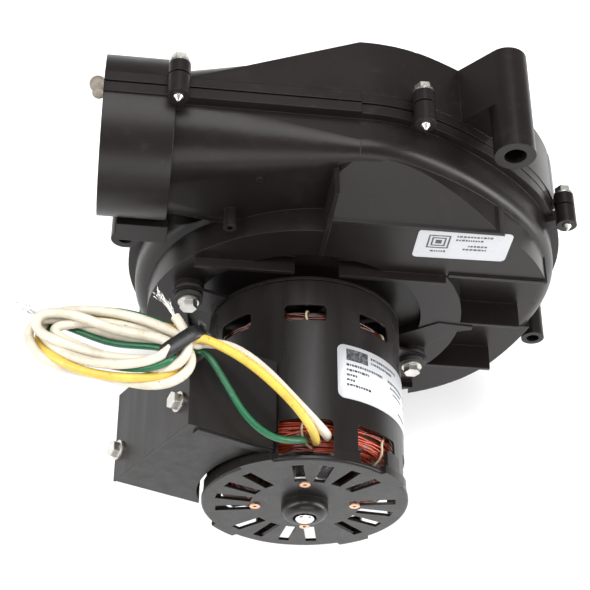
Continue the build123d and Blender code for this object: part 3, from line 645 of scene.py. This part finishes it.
def wrapped(bm, across, low, high, inner, outer):
    """A patch round the motor: distances across it in mm, with its lower and upper edge at each."""
    columns = []
    for s, l, h in zip(across, low, high):
        degrees = RATING_START - math.degrees(s / RATING_R)
        columns.append([bm.verts.new(polar(r, degrees, a)) for r, a in
                        ((inner, l), (inner, h), (outer, h), (outer, l))])
    for a, b in zip(columns, columns[1:]):
        for k in range(4):
            bm.faces.new((a[k], a[(k + 1) % 4], b[(k + 1) % 4], b[k]))
    bm.faces.new(columns[0])
    bm.faces.new(list(reversed(columns[-1])))


def rounded_edge(s, width):
    """How far the label's rounded corners draw its edge in at that distance across."""
    near = min(s, width - s)
    if near >= RATING_CORNER:
        return 0.0
    return RATING_CORNER - math.sqrt(max(0.0, RATING_CORNER ** 2 - (RATING_CORNER - near) ** 2))


def rating_mark(bm, s0, s1, a0, a1):
    count = max(2, math.ceil((s1 - s0) / 1.2))
    across = [s0 + (s1 - s0) * i / count for i in range(count + 1)]
    wrapped(bm, across, [a0] * len(across), [a1] * len(across), RATING_R - 0.05, RATING_R + 0.06)


def dashes(rng, start, end, shortest, longest, gap):
    """Lengths of print along a row, from start to end."""
    at = start
    while at < end - shortest:
        stop = min(end, at + rng.uniform(shortest, longest))
        yield at, stop
        at = stop + gap


def make_rating_label(finishes):
    """The label wrapped round the motor, with its rounded corners."""
    width = math.radians(RATING_SPAN) * RATING_R
    across = [width * i / RATING_STEPS for i in range(RATING_STEPS + 1)]
    across[1:1] = [0.15, 0.4]
    across[-1:-1] = [width - 0.4, width - 0.15]
    draw = [rounded_edge(s, width) for s in across]
    bm = bmesh.new()
    wrapped(bm, across, [RATING_LOW + d for d in draw], [RATING_HIGH - d for d in draw],
            RATING_R - LABEL_THICK, RATING_R)
    label = new_piece("rating_label", mesh_from("rating_label", bm), "label", "housing", finishes)
    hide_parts("motor_label")


def make_rating_print(rng, finishes, ink):
    """One block and rows of dashes on the rating label."""
    bm = bmesh.new()
    rating_mark(bm, 4.0, 14.6, 103.2, 108.6)
    for start, end, a in RATING_ROWS:
        for s0, s1 in dashes(rng, start, end, 0.5, 1.5, 0.35):
            rating_mark(bm, s0, s1, a, a + rng.uniform(0.85, 1.15))
    new_piece("rating_print", mesh_from("rating_print", bm), "nylon", "housing", finishes, ink, smooth=False)


def make_housing_print(rng, finishes, ink):
    """Nested squares and rows of dashes on the housing's label."""
    bm = bmesh.new()
    x, y = SQUARES_MIDDLE
    for out, thick in SQUARES:
        flat_mark(bm, x - out, x + out, y + out - thick, y + out)
        flat_mark(bm, x - out, x + out, y - out, y - out + thick)
        flat_mark(bm, x - out, x - out + thick, y - out + thick, y + out - thick)
        flat_mark(bm, x + out - thick, x + out, y - out + thick, y + out - thick)
    for start, end, low in HOUSING_ROWS:
        for x0, x1 in dashes(rng, start, end, 0.5, 1.4, 0.4):
            flat_mark(bm, x0, x1, low, low + rng.uniform(1.0, 1.35))
    mesh = mesh_from("housing_print", bm)
    new_piece("housing_print", mesh, "nylon", "housing", finishes, ink, smooth=False)


def make_labels(finishes):
    """The rating label, and plain generic print on both labels."""
    ink = printing_ink()
    make_rating_label(finishes)
    rng = random.Random(12)
    make_rating_print(rng, finishes, ink)
    make_housing_print(rng, finishes, ink)


# ---------------------------------------------------------------- tie and stripped ends

TIE_AXIS = COIL_LEFT * 0.795 - COIL_DOWN * 0.606
TIE_RADIAL = COIL_LEFT * -0.606 - COIL_DOWN * 0.795
TIE_MIDDLE = Vector((-56.2, 65.2, 124.0))
TIE_HALF_ALONG, TIE_HALF_FRONT, TIE_THICK, TIE_WIDE = 8.2, 7.4, 1.1, 6.6


def tie_point(radial, front, along):
    """A place in the tie's own directions."""
    return bench(*(TIE_MIDDLE + TIE_RADIAL * radial + COIL_OUT * front + TIE_AXIS * along))


def make_tie(finishes):
    """The strap with its grip ridges, the square head and the cut tail."""
    bm = bmesh.new()
    steps, corner = 96, 4.6
    rings = []
    for i in range(steps):
        turn = 2 * math.pi * i / steps
        cx = abs(math.cos(turn)) ** (2 / corner) * math.copysign(1, math.cos(turn))
        cy = abs(math.sin(turn)) ** (2 / corner) * math.copysign(1, math.sin(turn))
        ridge = 0.16 if i % 2 else 0.0
        ring = []
        for out, along in ((0, -1), (0.15, -1), (1, -0.82), (1, 0.82), (0.15, 1), (0, 1)):
            grow = out * TIE_THICK + (ridge if abs(along) < 0.9 else 0)
            ring.append(bm.verts.new(tie_point((TIE_HALF_ALONG + grow) * cx, (TIE_HALF_FRONT + grow) * cy,
                                               along * TIE_WIDE / 2)))
        rings.append(ring)
    for a, b in zip(rings, rings[1:] + rings[:1]):
        for k in range(6):
            bm.faces.new((a[k], a[(k + 1) % 6], b[(k + 1) % 6], b[k]))
    add_block(bm, (TIE_HALF_ALONG + 1.2, 1.6, 0), (2.3, 3.3, 3.4), 0.7)
    add_block(bm, (TIE_HALF_ALONG + 2.4, 6.2, 0.6), (0.65, 3.6, 2.1), 0.25)
    return new_piece("tie_strap", mesh_from("tie_strap", bm), "nylon", "housing", finishes)


def add_block(bm, middle, half, soft):
    """A block with softened edges in the tie's directions."""
    made = bmesh.ops.create_cube(bm, size=2.0)["verts"]
    for v in made:
        v.co = Vector((v.co.x * half[0], v.co.y * half[1], v.co.z * half[2]))
    edges = list({e for v in made for e in v.link_edges})
    cut = bmesh.ops.bevel(bm, geom=edges, offset=soft, segments=3, profile=0.6, affect="EDGES")
    verts = {v for f in cut["faces"] for v in f.verts} | {v for v in made if v.is_valid}
    for v in verts:
        v.co = tie_point(middle[0] + v.co.x, middle[1] + v.co.y, middle[2] + v.co.z)


def make_stripped_end(name, line, length, spread, bend, seed, wires, finishes):
    """Tinned strands that leave a lead's cut end, twisted at first and then splayed."""
    rng = random.Random(seed)
    bm = bmesh.new()
    tip = line[-1]
    ahead = (line[-1] - line[-4]).normalized()
    side = ahead.orthogonal().normalized()
    up = ahead.cross(side)
    for k in range(wires):
        phase = 2 * math.pi * k / wires
        fan = rng.uniform(0.25, 1.0) * spread * MM
        reach = length * MM * rng.uniform(0.72, 1.0)
        curl = rng.uniform(-0.6, 0.6)
        places = []
        for i in range(12):
            t = i / 11
            twist = phase + 4.2 * t + curl * t * t
            r = 0.42 * MM + fan * max(0.0, t - 0.25) ** 2
            place = tip - ahead * 0.5 * MM + ahead * reach * t
            place += (side * math.cos(twist) + up * math.sin(twist)) * r + Vector(bend) * MM * t * t
            places.append(place)
        add_tube(bm, places, 0.17 * MM, 5)
    return new_piece(name, mesh_from(name, bm), "tin", "housing", finishes)


def make_leads(finishes):
    """The three leads, the coil that they make, the tie and the stripped ends."""
    plans = (
        ("lead_white", "white_pvc", WHITE, WHITE_LANES, WHITE_D, ("white_lead", "lead_coil")),
        ("lead_yellow", "yellow_pvc", YELLOW, YELLOW_LANES, YELLOW_D, ("yellow_lead",)),
        ("lead_green", "green_pvc", GREEN, GREEN_LANES, GREEN_D, ("green_lead",)),
    )
    strands = []
    for _, _, _, lanes, diameter, _ in plans:
        places, held = coil_turns(lanes)
        strands.append({"places": places, "held": held, "radius": diameter / 2})
    tie = make_tie(finishes)
    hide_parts("cable_tie")
    ends = {
        "lead_white": dict(length=13, spread=3.4, bend=(-2.0, 1.5, 2.0), seed=4, wires=9),
        "lead_yellow": dict(length=10, spread=2.6, bend=(-1.5, 1.0, 1.0), seed=8, wires=8),
        "lead_green": dict(length=22, spread=3.0, bend=(-2.0, 0.5, 3.0), seed=15, wires=9),
    }
    for (name, slot, route, _, diameter, stands_for), turns in zip(plans, settle(strands)):
        lead = make_lead(name, slot, route, turns, diameter, finishes)
        line = line_of(lead)
        end = make_stripped_end(name + "_strands", line, finishes=finishes, **ends[name])
        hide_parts(*stands_for)
        if name == "lead_white":
            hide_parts("lead_ends")
        exit_place = bench(*route[1])
        length_of(line)


# ---------------------------------------------------------------- studio

def make_floor():
    """The plain pale floor, just under the lowest point of the part."""
    size, low = 3.0, CAD_LOW.z - 0.004
    mesh = bpy.data.meshes.new("floor")
    corners = [(-size, -size, low), (size, -size, low), (size, size, low), (-size, size, low)]
    mesh.from_pydata(corners, [], [(0, 1, 2, 3)])
    floor = bpy.data.objects.new("floor", mesh)
    s = Shader("floor_paper")
    tone = s.noise(3, 2)
    s.surface(Base_Color=s.mix(tone, (0.93, 0.93, 0.93), (0.96, 0.96, 0.96)), Roughness=0.9)
    mesh.materials.append(s.made)
    bpy.context.scene.collection.objects.link(floor)


def add_light(name, place, target, size, power):
    data = bpy.data.lights.new(name, "AREA")
    data.shape = "RECTANGLE"
    data.size, data.size_y = size
    data.energy = power
    light = bpy.data.objects.new(name, data)
    light.location = place
    light.rotation_mode = "QUATERNION"
    light.rotation_quaternion = (Vector(target) - Vector(place)).to_track_quat("-Z", "Y")
    bpy.context.scene.collection.objects.link(light)


def make_lights():
    middle = (CAD_LOW + CAD_HIGH) / 2
    add_light("top_box", (-0.1, 0.1, 1.3), middle, (1.0, 0.9), 16)
    add_light("left_strip", (-1.0, -0.35, 0.55), middle, (0.35, 1.3), 12)
    add_light("right_strip", (1.0, -0.25, 0.45), middle, (0.30, 1.3), 16)
    add_light("front_box", (0.1, -1.2, 0.35), middle, (0.9, 0.6), 6)
    world = bpy.data.worlds.new("studio")
    bpy.context.scene.world = world
    world.use_nodes = True
    world.node_tree.nodes["Background"].inputs["Color"].default_value = (1, 1, 1, 1)
    world.node_tree.nodes["Background"].inputs["Strength"].default_value = 0.30
    bpy.context.scene.view_settings.view_transform = "Standard"


def main():
    make_camera()
    finishes = make_materials()
    paint_nodes(finishes)
    make_leads(finishes)
    make_windings(finishes)
    make_labels(finishes)
    make_floor()
    make_lights()


main()
